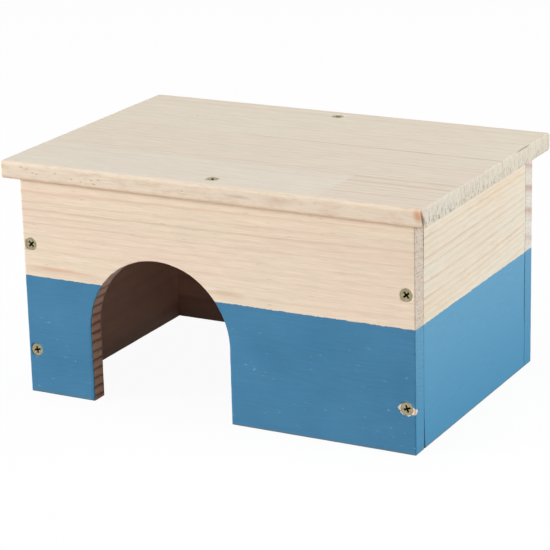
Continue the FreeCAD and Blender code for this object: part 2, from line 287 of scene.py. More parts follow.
front_path = rim_path([
    straight(left_us, front_vs[0], (0, -1)),
    straight(left_us[-1], leg_vs, (1, 0)),
    (joined(arch_us, arch_vs), joined(np.cos(arch_turns), -np.sin(arch_turns))),
    straight(right_us[0], leg_vs[::-1], (-1, 0)),
    straight(right_us, front_vs[0], (0, -1)),
    straight(right_us[-1], front_vs, (1, 0)),
    straight(np.concatenate([left_us[:-1], arch_us, right_us[1:]])[::-1], front_vs[-1], (0, 1)),
    straight(left_us[0], front_vs[::-1], (-1, 0)),
])
thickness_lines = grid_lines(EASE, BOARD - EASE, CELL, [BOARD / 2])
wall_profile = eased_profile(BOARD, EASE, thickness_lines)


def countersunk(centre, axis, thickness):
    """The two ends of a clearance hole through a board: a narrow ring level with the face, a lip pressed
    close round the head, a 90 degree countersink, then the bore to the far face."""
    axis = np.array(axis, float)
    mouth = [(MOUTH + LEVEL_RING, 0), (MOUTH, 0), (MOUTH, LIP)]
    near = mouth + [(SHANK_HOLE, LIP + MOUTH - SHANK_HOLE), (SHANK_HOLE, thickness)]
    return [(np.array(centre), axis, near), (np.array(centre) + thickness * axis, -axis, [(SHANK_HOLE, 0)])]


def pilot(centre, axis):
    """A blind pilot hole that the screw's thread is driven into."""
    depth = 21 * MM
    rings = [(PILOT_HOLE, 0), (PILOT_HOLE, depth), (0, depth + PILOT_HOLE)]
    return [(np.array(centre), np.array(axis, float), rings)]


RING_SPACING = 5.2 * MM
SAW_WAVE = 0.16 * MM


def sawn_doorway(points, normals):
    """Worn edges, and a doorway whose left edge waves by 0.2 mm, as a jigsaw's blade jumps from ring to ring.
    The wave fades out within 1.3 mm of the cut's line, within 5 mm of the front face, and over the 30 mm left
    of the doorway's middle."""
    points = handled_edges(1)(points, normals)
    across, up = points[:, 0] - DOOR_MIDDLE, np.maximum(points[:, 2] - DOOR_SPRING, 0)
    reach = np.maximum(np.hypot(across, up), MM)
    at_rim = np.clip(1 - np.abs(reach - DOOR_RADIUS) / (1.3 * MM), 0, 1)
    at_face = np.clip(1 - (points[:, 1] - FRONT_LOW[1]) / (5 * MM), 0, 1)
    at_left = np.clip(-across / (30 * MM), 0, 1)
    wave = np.sin(2 * math.pi * points[:, 2] / RING_SPACING) + 0.6 * ripple(points, 3 * MM, 7)
    push = SAW_WAVE * at_rim * at_face * at_left * wave / reach
    points[:, 0] += push * across
    points[:, 2] += push * up
    return points


front_holes = pilot((0, (FRONT_LOW[1] + FRONT_HIGH[1]) / 2, WALL_TOP), (0, 0, -1))
for x in SCREW_LINES:
    for z in SCREW_HEIGHTS:
        front_holes += countersunk((x, FRONT_LOW[1], z), (0, 1, 0), BOARD)
front_board = make_piece(
    "front_board",
    board_skins(
        [plain_block(left_us, front_vs), over_arch, plain_block(right_us, front_vs)],
        front_path,
        wall_profile,
        lambda u, v, depth: joined(u, FRONT_LOW[1] + depth, v),
    ),
    front_holes,
    sawn_doorway,
)


def linear(colour):
    """An sRGB hex colour as linear red, green, blue and alpha."""
    parts = [int(colour[i:i + 2], 16) / 255 for i in (1, 3, 5)]
    return [part / 12.92 if part <= 0.04045 else ((part + 0.055) / 1.055) ** 2.4 for part in parts] + [1]


def add(tree, kind, inputs=(), out=0, stops=(), curve=(), **settings):
    """Adds a node and returns one of its outputs. inputs gives each socket a value, a colour's hex code or
    another node's output, stops fills a colour ramp, curve fills a float curve, and settings are the node's
    own properties."""
    node = tree.nodes.new("ShaderNode" + kind)
    for key, value in settings.items():
        setattr(node, key, value)
    for key, value in dict(inputs).items():
        if isinstance(value, bpy.types.NodeSocket):
            tree.links.new(value, node.inputs[key])
        else:
            node.inputs[key].default_value = linear(value) if isinstance(value, str) else value
    for position, _ in stops[2:]:
        node.color_ramp.elements.new(position)
    for element, (position, colour) in zip(node.color_ramp.elements if stops else (), stops):
        element.position = position
        element.color = linear(colour)
    for position, height in curve[2:]:
        node.mapping.curves[0].points.new(position, height)
    for point, corner in zip(node.mapping.curves[0].points if curve else (), curve):
        point.location = corner
        point.handle_type = "VECTOR"
    return node.outputs[out] if node.outputs else node


# Darkness across one ring: it fades from the last ring's late wood, then deepens into its own
RING_BAND = [(0, 0.6), (0.1, 0.15), (0.4, 0), (0.72, 0.3), (0.9, 1), (1, 0.7)]


def ring_shade(tree, height, lines):
    """Growth rings from a height in mm: lines are (height, darkness) of each late-wood line. One curve turns
    height into ring number, whose fraction rises to 1 at the line and drops, and another gives each line's
    darkness."""
    count = len(lines) - 1
    low, high = lines[0][0], lines[-1][0]
    across = add(tree, "MapRange", {"Value": height, "From Min": low, "From Max": high})
    places = [((line - low) / (high - low), shade) for line, shade in lines]
    steps = [(x, i / count) for i, (x, _) in enumerate(places)]
    number = add(tree, "FloatCurve", {"Value": across}, curve=steps)
    rings = add(tree, "Math", {0: number, 1: count}, operation="MULTIPLY")
    part = add(tree, "Math", {0: rings}, operation="FRACT")
    band = add(tree, "FloatCurve", {"Value": part}, curve=RING_BAND)
    darkness = add(tree, "FloatCurve", {"Value": across}, curve=places)
    return add(tree, "Math", {0: band, 1: darkness}, operation="MULTIPLY")


def spot(tree, place, centre, radii, turn=0.0, soft=0.5, amount=1.0):
    """An oval mark in the wood: amount inside, fading to 0 over the outer soft part of its radii. centre and
    radii are in mm, and turn is degrees about Y."""
    own = add(tree, "Mapping", {
        "Vector": place, "Location": [MM * c for c in centre], "Rotation": (0, math.radians(turn), 0),
        "Scale": [MM * r for r in radii],
    }, vector_type="TEXTURE")
    reach = add(tree, "VectorMath", {0: own}, out="Value", operation="LENGTH")
    return add(tree, "MapRange", {"Value": reach, "From Min": 1.0, "From Max": 1.0 - soft, "To Max": amount})


def patches(tree, place, scale, between, to=(0.0, 1.0), start=(0, 0, 0), detail=2.0, roughness=0.5):
    """Uneven patches: noise with about scale waves to the metre along each axis, whose values between the two
    given ones are spread over the range to."""
    own = add(tree, "Mapping", {"Vector": place, "Location": start, "Scale": scale})
    noise = add(tree, "TexNoise", {"Vector": own, "Scale": 1.0, "Detail": detail, "Roughness": roughness})
    spread = {"From Min": between[0], "From Max": between[1], "To Min": to[0], "To Max": to[1]}
    return add(tree, "MapRange", {"Value": noise, **spread})


def emptied(owner):
    """The node tree of a material or a world, with nothing in it yet."""
    owner.use_nodes = True
    owner.node_tree.nodes.clear()
    return owner.node_tree


def pine(name, axes, half, face, lines, slope, lean, wander, shades, ends, seed, local, paint=None):
    """Planed pine as a solid whose growth rings, fibres, resin ducts and cut ends follow the board's own
    axes: along the grain for half either way, across the rings, and through the board from its outer face.
    shades are its early wood, late wood, pinker wood and cut ends, and ends is how much the rings show on
    its ends. local gives mm to add to the ring height, a factor on the rings, how rough the saw left the
    ends, and marks as (amount, colour)."""
    early, late, blush, cut = shades
    material = bpy.data.materials.new(name)
    tree = emptied(material)
    place = add(tree, "TexCoord", out="Object")
    along, up, deep = (add(tree, "SeparateXYZ", {0: place}, out=axis) for axis in axes)
    grain = add(tree, "CombineXYZ", {0: along, 1: up, 2: deep})
    offset, boost, torn, marks = local(tree, place)

    # Rings wander by a few mm over a hand's length, and wiggle finely with the fibres.
    drift = patches(tree, grain, (9, 22, 30), (0, 1), (-wander, wander), (seed, 0, 0), detail=1.0)
    wiggle = patches(tree, grain, (70, 300, 300), (0, 1), (-0.7, 0.7), (seed, 3, 0))
    depth = add(tree, "Math", {0: deep, 1: face}, operation="SUBTRACT")
    height = offset
    for source, factor in (
        (up, 1 / MM), (along, -slope / MM), (depth, lean / MM), (drift, 1.0), (wiggle, 1.0),
    ):
        height = add(tree, "Math", {0: source, 1: factor, 2: height}, operation="MULTIPLY_ADD")

    # Late wood is darker where it is cut across the grain, and darkest where the jigsaw's fine blade cut it.
    facing = add(tree, "SeparateXYZ", {0: add(tree, "TexCoord", out="Normal")}, out=axes[0])
    facing = add(tree, "Math", {0: facing}, operation="ABSOLUTE")
    end = add(tree, "MapRange", {"Value": facing, "From Min": 0.5, "From Max": 0.8})
    far = add(tree, "Math", {0: along}, operation="ABSOLUTE")
    far = add(tree, "MapRange", {"Value": far, "From Min": half - 2.6 * MM, "From Max": half - 2.0 * MM})
    outer_end = add(tree, "Math", {0: end, 1: far}, operation="MULTIPLY")
    inner_end = add(tree, "Math", {0: end, 1: outer_end}, operation="SUBTRACT")
    gain = add(tree, "Math", {0: inner_end, 1: 1.6, 2: boost}, operation="MULTIPLY_ADD")
    gain = add(tree, "Math", {0: outer_end, 1: ends - 1.0, 2: gain}, operation="MULTIPLY_ADD")
    rings = add(tree, "Math", {0: ring_shade(tree, height, lines), 1: gain}, operation="MULTIPLY")

    # Broad patches are pinker where the wood holds more resin, and a cut end soaks up light, so it is greyer.
    pinker = patches(tree, grain, (10, 45, 30), (0.42, 0.7), (0.0, 0.75), (0, seed, 0))
    soaked = add(tree, "Math", {0: outer_end, 1: 0.8}, operation="MULTIPLY")
    dark = add(tree, "Mix", {0: inner_end, 6: late, 7: "#956a4b"}, out=2, data_type="RGBA")
    colour = early
    for amount, shade in [(pinker, blush), (soaked, cut), (rings, dark), *marks]:
        colour = add(tree, "Mix", {0: amount, 6: colour, 7: shade}, out=2, data_type="RGBA")

    # Fibres are 0.03 mm wide in the wood and are drawn 0.6 mm wide, so that they show.
    thread = add(tree, "Mapping", {"Vector": grain, "Scale": (75, 1600, 1600)})
    fibre = add(tree, "TexNoise", {"Vector": thread, "Scale": 1.0, "Detail": 3.0, "Roughness": 0.6})
    tone = {"Value": fibre, "From Min": 0.25, "From Max": 0.75, "To Min": 0.9, "To Max": 1.09}
    toned = {0: 1.0, 6: colour, 7: add(tree, "MapRange", tone)}
    colour = add(tree, "Mix", toned, out=2, data_type="RGBA", blend_type="MULTIPLY")

    # Resin ducts show as short brown dashes, about 4 mm long on a long face. The coarse saw left torn tufts
    # on an end, about 1 mm wide and 3 mm long through the board's thickness.
    duct = patches(tree, grain, (160, 1500, 1500), (0.76, 0.84), (0.0, 0.25), (seed, 0, 7), detail=0.0)
    tuft = patches(tree, grain, (60, 1000, 360), (0.5, 0.64), (0.0, torn), (0, seed, 0), roughness=0.7)
    tuft = add(tree, "Math", {0: tuft, 1: outer_end}, operation="MULTIPLY")
    for amount, shade in ((duct, "#a98763"), (tuft, "#877d6b")):
        colour = add(tree, "Mix", {0: amount, 6: colour, 7: shade}, out=2, data_type="RGBA")
    rough = add(tree, "MapRange", {"Value": fibre, "To Min": 0.75, "To Max": 0.6})
    relief = add(tree, "Math", {0: fibre, 1: 0.5, 2: rings}, operation="MULTIPLY_ADD")
    relief = add(tree, "Math", {0: tuft, 1: -3.0, 2: relief}, operation="MULTIPLY_ADD")
    if paint:
        colour, rough, relief = paint(tree, place, colour, rough, relief, fibre)
    bump = add(tree, "Bump", {"Height": relief, "Strength": 0.35, "Distance": 0.1 * MM})
    shader = add(
        tree, "BsdfPrincipled",
        {"Base Color": colour, "Roughness": rough, "Normal": bump, "Specular IOR Level": 0.35},
    )
    add(tree, "OutputMaterial", {"Surface": shader})
    return material


PAINT_TOP = 68.0
HALF_WIDTH = (FRONT_HIGH[0] - FRONT_LOW[0]) / 2
HALF_DEPTH = (BACK_HIGH[1] - FRONT_LOW[1]) / 2


def blue_dip(tree, place, colour, rough, relief, fibre):
    """Matt blue acrylic on the outside of the walls below the paint line. It was put on before the screw
    holes were drilled, so the holes, the doorway's edge and the inside stay bare. A paler blue on the sides
    is painted sheen."""
    x, y, z = (add(tree, "SeparateXYZ", {0: place}, out=axis) for axis in "XYZ")
    insets = []
    for position, half in ((x, HALF_WIDTH), (y, HALF_DEPTH)):
        position = add(tree, "Math", {0: position}, operation="ABSOLUTE")
        insets.append(add(tree, "Math", {0: half, 1: position}, operation="SUBTRACT"))
    ends, faces = insets
    inside = add(tree, "Math", {0: ends, 1: faces}, operation="MINIMUM")
    outside = add(tree, "MapRange", {"Value": inside, "From Min": 0.5 * MM, "From Max": 0.3 * MM})
    edge = patches(tree, place, (420, 420, 420), (0, 1), (-0.8, 0.8), detail=3.0, roughness=0.65)
    top = add(tree, "Math", {0: z, 1: 1 / MM, 2: edge}, operation="MULTIPLY_ADD")
    below = add(tree, "MapRange", {"Value": top, "From Min": PAINT_TOP + 0.12, "From Max": PAINT_TOP - 0.12})
    cover = add(tree, "Math", {0: outside, 1: below}, operation="MULTIPLY")

    # The screw at the lower right tore the paint off round its head, most to the left and to the right.
    x0, y0, z0 = SCREW_LINES[1] / MM, FRONT_LOW[1] / MM, SCREW_HEIGHTS[0] / MM
    shiver = add(tree, "TexNoise", {"Vector": place, "Scale": 600.0, "Detail": 2.0}, out="Color")
    shiver = add(tree, "VectorMath", {0: shiver, 1: (0.5, 0.5, 0.5)}, operation="SUBTRACT")
    shiver = add(tree, "VectorMath", {0: shiver, 1: [2.2 * MM] * 3, 2: place}, operation="MULTIPLY_ADD")
    torn = spot(tree, shiver, (x0 - 0.2, y0, z0 - 0.1), (4.0, 3, 3.8), soft=0.08)
    for lobe in (((x0 - 3.0, y0, z0 + 0.1), (2.0, 3, 1.6)), ((x0 + 3.3, y0, z0 - 0.9), (3.0, 3, 2.0))):
        torn = add(tree, "Math", {0: torn, 1: spot(tree, shiver, *lobe, soft=0.12)}, operation="MAXIMUM")
    cover = add(tree, "Math", {0: cover, 1: torn}, operation="SUBTRACT", use_clamp=True)
    bared = add(tree, "Math", {0: torn, 1: 0.7}, operation="MULTIPLY")
    fresh = add(tree, "TexNoise", {"Vector": shiver, "Scale": 330.0, "Detail": 1.0})
    fresh = add(tree, "ValToRGB", {"Fac": fresh}, stops=[(0.48, "#f2e9dd"), (0.66, "#dcae8c")])

    # Inside, the boards are left as they came from the saw. Painted shade tints every bare inner surface
    # redder, as warm bounced light would, darkens the inner faces of the walls from 95 mm down to 5 mm, and
    # darkens them more over the lowest 15 mm.
    # Painted shade: a redder, darker tint on the bare inner surfaces.
    inner = add(tree, "MapRange", {"Value": inside, "From Min": 0.5 * MM, "From Max": MM})
    walls = {"Value": inside, "From Min": BOARD - MM, "From Max": BOARD - 0.5 * MM, "To Max": 0.5}
    walls = add(tree, "MapRange", walls)
    # Painted shade: the inner walls darken from 95 mm down to 5 mm.
    height_shade = add(tree, "MapRange", {"Value": z, "From Min": 5 * MM, "From Max": 95 * MM})
    sawn_and_shaded = add(tree, "Mix", {0: height_shade, 6: "#bda492", 7: "#fff2e0"}, out=2, data_type="RGBA")
    # Painted shade: the inner walls darken more over the lowest 15 mm, near the floor.
    floor_shade = add(tree, "MapRange", {"Value": z, "From Min": 15 * MM, "From Max": MM, "To Max": 2.0})
    floor_shade = add(tree, "Math", {0: floor_shade, 1: walls}, operation="MULTIPLY")

    # Painted shade darkens the gaps where the side boards butt against the front and the back.
    behind = add(tree, "Math", {0: faces, 1: BOARD + MM, 2: 1.5 * MM}, operation="COMPARE")
    within = add(tree, "Math", {0: ends, 1: BOARD / 2, 2: BOARD / 2 - 0.7 * MM}, operation="COMPARE")
    gap_shade = add(tree, "Math", {0: behind, 1: within}, operation="MULTIPLY")
    for amount, shade, blend in (
        (bared, fresh, "MIX"), (walls, sawn_and_shaded, "MIX"), (floor_shade, "#b4aca6", "MULTIPLY"),
        (inner, "#fde6e3", "MULTIPLY"), (gap_shade, "#5d4c42", "MIX"),
    ):
        laid = {0: amount, 6: colour, 7: shade}
        colour = add(tree, "Mix", laid, out=2, data_type="RGBA", blend_type=blend)

    # The blue is mottled. Painted sheen makes it paler on the sides, and paler still towards their top.
    cloud = add(tree, "TexNoise", {"Vector": place, "Scale": 30.0, "Detail": 3.0})
    blue = add(tree, "ValToRGB", {"Fac": cloud}, stops=[(0.3, "#3e789c"), (0.7, "#4781a5")])
    # Painted sheen: paler blue on the sides, brightest at the top.
    side = add(tree, "MapRange", {"Value": ends, "From Min": 0.5 * MM, "From Max": 0.2 * MM})
    sheen_rise = add(tree, "MapRange", {"Value": z, "From Max": MM * PAINT_TOP})
    side_sheen = add(tree, "Mix", {0: sheen_rise, 6: "#3384ac", 7: "#5797ba"}, out=2, data_type="RGBA")

    # Raised fibres leave a few short pale flecks on the front and the back, about 3 mm long, most low down.
    most = add(tree, "MapRange", {"Value": z, "From Max": MM * PAINT_TOP, "To Min": 0.8, "To Max": 0.25})
    speck = patches(tree, place, (260, 260, 800), (0.69, 0.84), (0.0, most))

    # The end grain of the front and back boards drank the paint, which left it darker and full of open pores.
    drunk = add(tree, "MapRange", {"Value": faces, "From Min": BOARD, "From Max": BOARD - 0.3 * MM})
    drunk = add(tree, "Math", {0: drunk, 1: side}, operation="MULTIPLY")
    pore = patches(tree, place, (800, 800, 800), (0.48, 0.68), (0.04, 0.5))
    pore = add(tree, "Math", {0: pore, 1: drunk}, operation="MULTIPLY")

    # Brush marks follow the fibres, and the lowest millimetre of the paint is greyed.
    streak = {"Value": fibre, "From Min": 0.25, "From Max": 0.75, "To Min": 0.93, "To Max": 1.07}
    streak = add(tree, "MapRange", streak)
    foot = add(tree, "MapRange", {"Value": z, "From Min": 1.4 * MM, "From Max": 0.6 * MM, "To Max": 0.65})
    for amount, shade, blend in (
        (speck, "#a5c8dc", "MIX"), (side, side_sheen, "MIX"), (pore, "#2d6c8c", "MIX"), (1.0, streak, "MULTIPLY"),
        (foot, "#66757a", "MIX"),
    ):
        laid = {0: amount, 6: blue, 7: shade}
        blue = add(tree, "Mix", laid, out=2, data_type="RGBA", blend_type=blend)
    colour = add(tree, "Mix", {0: cover, 6: colour, 7: blue}, out=2, data_type="RGBA")
    rough = add(tree, "Mix", {0: cover, 2: rough, 3: 0.5}, data_type="FLOAT")
    film = add(tree, "Math", {0: fibre, 1: 0.9}, operation="MULTIPLY")
    relief = add(tree, "Mix", {0: cover, 2: relief, 3: film}, data_type="FLOAT")
    return colour, rough, relief


FRONT_RINGS = [
    (-12, 0.3), (-6.5, 0.4), (-1.3, 0.5), (4, 0.5), (9.2, 0.6), (14.5, 0.4), (19.6, 0.5), (25, 0.6),
    (30.1, 0.4), (35.4, 0.5), (40.5, 0.6), (45.7, 0.5), (51, 0.5), (56.3, 0.5), (61.8, 0.5), (67, 0.4),
    (73.3, 0.25), (78.2, 0.14), (84.1, 0.22), (88.8, 0.17), (92.8, 0.2), (96.2, 0.15), (99.6, 0.28),
    (103.6, 0.17), (107.2, 0.45), (112, 0.2), (118.2, 0.35), (122.6, 0.3), (128, 0.4), (134, 0.4),
]
# How much the rings climb from left to right, in mm for each metre, at these fractions of 130 mm up the board
RING_CLIMB = [(0, 8), (0.55, 12), (0.6, 2), (0.68, 2), (0.75, 10), (0.82, 12), (0.9, 16), (0.925, 2), (1, 2)]


def front_marks(tree, place):
    """Rings that climb unevenly and grow fainter from left to right, a reddish resin streak just above the
    paint at the left, and a pinkish smudge beside the doorway."""
    x, z = (add(tree, "SeparateXYZ", {0: place}, out=axis) for axis in "XZ")
    part = add(tree, "MapRange", {"Value": z, "From Max": 130 * MM})
    steepest = 20.0
    climb = add(tree, "FloatCurve", {"Value": part}, curve=[(at, mm / steepest) for at, mm in RING_CLIMB])
    climb = add(tree, "Math", {0: climb, 1: -steepest}, operation="MULTIPLY")
    offset = add(tree, "Math", {0: climb, 1: x}, operation="MULTIPLY")
    y = FRONT_LOW[1] / MM
    streak = spot(tree, place, (-97, y, 73.0), (28, 4, 1.6), soft=0.8, amount=0.6)
    smudge = spot(tree, place, (9, y, 73.4), (12, 4, 2.4), soft=0.7, amount=0.5)
    fade = {"Value": x, "From Min": -20 * MM, "From Max": 90 * MM, "To Min": 1.0, "To Max": 0.7}
    return offset, add(tree, "MapRange", fade), 0.5, [(streak, "#d9a486"), (smudge, "#d6b89c")]


front_board.data.materials.append(pine(
    "planed_pine_front", "XZY", HALF_WIDTH, FRONT_LOW[1], FRONT_RINGS, slope=0.0, lean=0.05, wander=0.8,
    shades=("#efdcc5", "#cda789", "#f0d7c3", "#d0c6ba"), ends=1.6, seed=1.0,
    paint=blue_dip, local=front_marks,
))
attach(front_board, "root")
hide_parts("front_panel")

# Back board. A plain board of the same stock and size as the front one, without a doorway, from a tree that
# grew faster: its rings are about 13 mm wide, which shows at its ends. Four screws hold it too.
back_us = grid_lines(BACK_LOW[0] + EASE, BACK_HIGH[0] - EASE, CELL, [SCREW_LINES[0], 0, SCREW_LINES[1]])
back_vs = grid_lines(BACK_LOW[2] + EASE, WALL_TOP - EASE, CELL, SCREW_HEIGHTS)
back_holes = pilot((0, (BACK_LOW[1] + BACK_HIGH[1]) / 2, WALL_TOP), (0, 0, -1))
for x in SCREW_LINES:
    for z in SCREW_HEIGHTS:
        back_holes += countersunk((x, BACK_HIGH[1], z), (0, -1, 0), BOARD)
back_board = make_piece(
    "back_board",
    board_skins(
        [plain_block(back_us, back_vs)],
        plain_path(back_us, back_vs),
        wall_profile,
        lambda u, v, depth: joined(u, BACK_HIGH[1] - depth, v),
    ),
    back_holes,
    handled_edges(5),
)
BACK_RINGS = [
    (-29, 0.9), (-16, 0.9), (-3, 0.9), (10, 0.9), (23, 0.9), (36, 0.9), (49, 0.9), (62, 0.8),
    (75.7, 0.5), (91.1, 0.9), (104.4, 1.0), (117.6, 0.75), (131, 0.9), (144, 0.9),
]
back_board.data.materials.append(pine(
    "planed_pine_back", "XZY", HALF_WIDTH, BACK_HIGH[1], BACK_RINGS, slope=-0.006, lean=0.3, wander=1.6,
    shades=("#ebdfca", "#bd998b", "#ecd9c4", "#e1ddd6"), ends=1.1, seed=5.0, paint=blue_dip,
    local=lambda tree, place: (0.0, 0.7, 0.3, []),
))
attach(back_board, "root")
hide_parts("back_panel")

# Side boards. Two plain boards between the front and the back one, with their ends drilled for the screws.
# The right one's ends aren't quite square, so a thin dark gap opens at each seam, as the photo shows.
SIDE_LOW, SIDE_HIGH = (np.array(corner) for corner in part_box("right_panel"))
side_us = grid_lines(SIDE_LOW[1] + EASE, SIDE_HIGH[1] - EASE, CELL)
side_vs = grid_lines(SIDE_LOW[2] + EASE, WALL_TOP - EASE, CELL, SCREW_HEIGHTS)
# Width of the gap at the right board's front and back ends, as heights in mm and the mm open there
FRONT_GAP = [0, 24, 68, 72, 92, 112], [1.4, 0, 0, 0.15, 0.15, 0.75]
BACK_GAP = [22, 34, 58, 78], [0.15, 0.9, 0.9, 0.15]


def ends_out_of_square(points, normals):
    """Draws in the right board's ends by the gap at each height, fading out over the last 3 mm."""
    points = handled_edges(9)(points, normals)
    z = points[:, 2] / MM
    near_front = np.clip(1 - (points[:, 1] - SIDE_LOW[1]) / (3 * MM), 0, 1)
    near_back = np.clip(1 - (SIDE_HIGH[1] - points[:, 1]) / (3 * MM), 0, 1)
    points[:, 1] += MM * (np.interp(z, *FRONT_GAP) * near_front - np.interp(z, *BACK_GAP) * near_back)
    return points


def side_fan(tree, place):
    """Rings of the side boards fan out and fade towards the back, more so lower down, as under a limb."""
    along, up = (add(tree, "SeparateXYZ", {0: place}, out=axis) for axis in "YZ")
    back = add(tree, "MapRange", {"Value": along, "From Min": -60 * MM, "From Max": 78 * MM, "To Max": 1.0})
    back = add(tree, "Math", {0: back, 1: 2.0}, operation="POWER")
    low = {"Value": up, "From Min": 125 * MM, "From Max": 70 * MM, "To Min": 0.5, "To Max": -5.5}
    offset = add(tree, "Math", {0: back, 1: add(tree, "MapRange", low)}, operation="MULTIPLY")
    boost = patches(tree, place, (10, 14, 90), (0.3, 0.7), (0.45, 1.1), detail=1.0)
    boost = add(tree, "Math", {0: back, 1: -0.2, 2: boost}, operation="MULTIPLY_ADD")
    return offset, boost, 0.5, []


SIDE_RINGS = [
    (-20, 0.5), (-11, 0.6), (-3, 0.5), (6, 0.6), (15, 0.5), (24, 0.6), (33, 0.5), (42, 0.6), (51, 0.5),
    (60, 0.6), (67, 0.5), (71.5, 0.3), (74.5, 0.45), (78, 0.7), (81.5, 0.8), (86, 0.2), (90, 0.8),
    (94.5, 0.25), (98.4, 0.7), (103, 0.85), (107, 0.2), (110.2, 0.5), (113.9, 0.7), (116.6, 0.25),
    (119.3, 1.0), (127, 0.6), (135, 0.6),
]
for name, node, outer, inward, shape, seed in (
    ("left_board", "left_panel", -HALF_WIDTH, 1, handled_edges(13), 31.0),
    ("right_board", "right_panel", HALF_WIDTH, -1, ends_out_of_square, 11.0),
):
    holes = []
    for z in SCREW_HEIGHTS:
        for y, way in ((SIDE_LOW[1], 1), (SIDE_HIGH[1], -1)):
            holes += pilot((outer + inward * BOARD / 2, y, z), (0, way, 0))
    board = make_piece(
        name,
        board_skins(
            [plain_block(side_us, side_vs)],
            plain_path(side_us, side_vs),
            wall_profile,
            lambda u, v, depth: joined(outer + inward * depth, u, v),
        ),
        holes,
        shape,
    )
    board.data.materials.append(pine(
        "planed_pine_" + node, "YZX", SIDE_HIGH[1], outer, SIDE_RINGS, slope=0.0, lean=0.15, wander=0.8,
        shades=("#e5ddcc", "#d3b08c", "#e6d7c0", "#dccfbd"), ends=1.0, seed=seed,
        paint=blue_dip, local=side_fan,
    ))
    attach(board, "root")
    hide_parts(node)

# Roof. A board glued up from pine staves, planed, with its long edges rounded over and its ends cross-cut
# with a coarse saw that left them ragged. Two screws hold it to the front and back boards.
NOSE = 2.2 * MM
ROOF_THICK = ROOF_HIGH[2] - ROOF_LOW[2]
ROOF_LENGTH = ROOF_HIGH[0] - ROOF_LOW[0]
END_EASE = 0.3 * MM
ROOF_SCREWS = [middle_of("roof_screw_front")[1], middle_of("roof_screw_back")[1]]
roof_us = grid_lines(ROOF_LOW[1] + NOSE, ROOF_HIGH[1] - NOSE, 0.6 * MM, ROOF_SCREWS)
roof_vs = np.linspace(ROOF_LOW[2] + NOSE, ROOF_HIGH[2] - NOSE, 9)
length_lines = grid_lines(END_EASE, ROOF_LENGTH - END_EASE, 3.5 * MM, [ROOF_LENGTH / 2])
turn = np.linspace(0, math.pi / 2, 4)
roof_profile = np.concatenate([
    [(0, 0), (0.6 * (NOSE - END_EASE), 0)],
    joined(NOSE - END_EASE * (1 - np.sin(turn)), END_EASE * (1 - np.cos(turn))),
    joined(NOSE, length_lines[1:-1]),
    joined(NOSE - END_EASE * (1 - np.cos(turn)), ROOF_LENGTH - END_EASE * (1 - np.sin(turn))),
    [(0.6 * (NOSE - END_EASE), ROOF_LENGTH), (0, ROOF_LENGTH)],
])


def sawn_ends(points, normals):
    """Ragged saw cuts: each end is notched inwards by up to 0.5 mm where fibres tore out, most along its
    lower edge, and its face is scored by the teeth."""
    points = handled_edges(21, 0.15 * MM)(points, normals)
    inset = ROOF_HIGH[0] - np.abs(points[:, 0])
    at_end = np.clip(1 - inset / (1.2 * MM), 0, 1)
    low = np.clip(1 - (points[:, 2] - ROOF_LOW[2]) / (3 * MM), 0, 1)
    high = np.clip(1 - (ROOF_HIGH[2] - points[:, 2]) / (1 * MM), 0, 1)
    teeth = np.clip(ripple(points, (40 * MM, 1.5 * MM, 8 * MM), 33), 0, 1)
    score = np.clip(0.5 + 0.5 * ripple(points, (40 * MM, 2.2 * MM, 14 * MM), 35), 0, 1)
    depth = MM * (0.12 * score + 0.4 * teeth * low + 0.25 * teeth * high)
    points[:, 0] -= np.sign(points[:, 0]) * at_end * depth
    return points


roof_holes = []
for y in ROOF_SCREWS:
    roof_holes += countersunk((0, y, ROOF_HIGH[2]), (0, 0, -1), ROOF_THICK)
roof_board = make_piece(
    "roof_board",
    board_skins(
        [plain_block(roof_us, roof_vs)],
        plain_path(roof_us, roof_vs),
        roof_profile,
        lambda u, v, depth: joined(ROOF_HIGH[0] - depth, u, v),
    ),
    roof_holes,
    sawn_ends,
)
ROOF_RINGS = [
    (-92, 0.3), (-83, 0.3), (-77.5, 0.2), (-72.8, 0.15), (-67.7, 0.55), (-62.9, 0.2), (-58.5, 0.3),
    (-53.3, 0.3), (-46.9, 0.75), (-38, 0.4), (-33, 0.4), (-28.5, 0.15), (-24, 0.2), (-19, 0.2), (-14, 0.2),
    (-8.5, 0.35), (-2.8, 0.28), (3.5, 0.15), (10, 0.1), (16.6, 0.15), (22.5, 0.1), (26.6, 0.1), (33.6, 0.2),
    (40.3, 0.28), (47, 0.08), (54, 0.2), (64, 0.15), (74, 0.35), (82, 0.2), (92, 0.3),
]
ROOF_GLUE_LINES = 16.6, -38.0
ROOF_FINGER_JOINT = 65.0


def seam(tree, across, line, width, strength):
    """A thin line in the wood: strength within 0.2 mm of it, fading to 0 at width from it."""
    off = add(tree, "Math", {0: across, 1: line}, operation="SUBTRACT")
    off = add(tree, "Math", {0: off}, operation="ABSOLUTE")
    return add(tree, "MapRange", {"Value": off, "From Min": width, "From Max": 0.2 * MM, "To Max": strength})


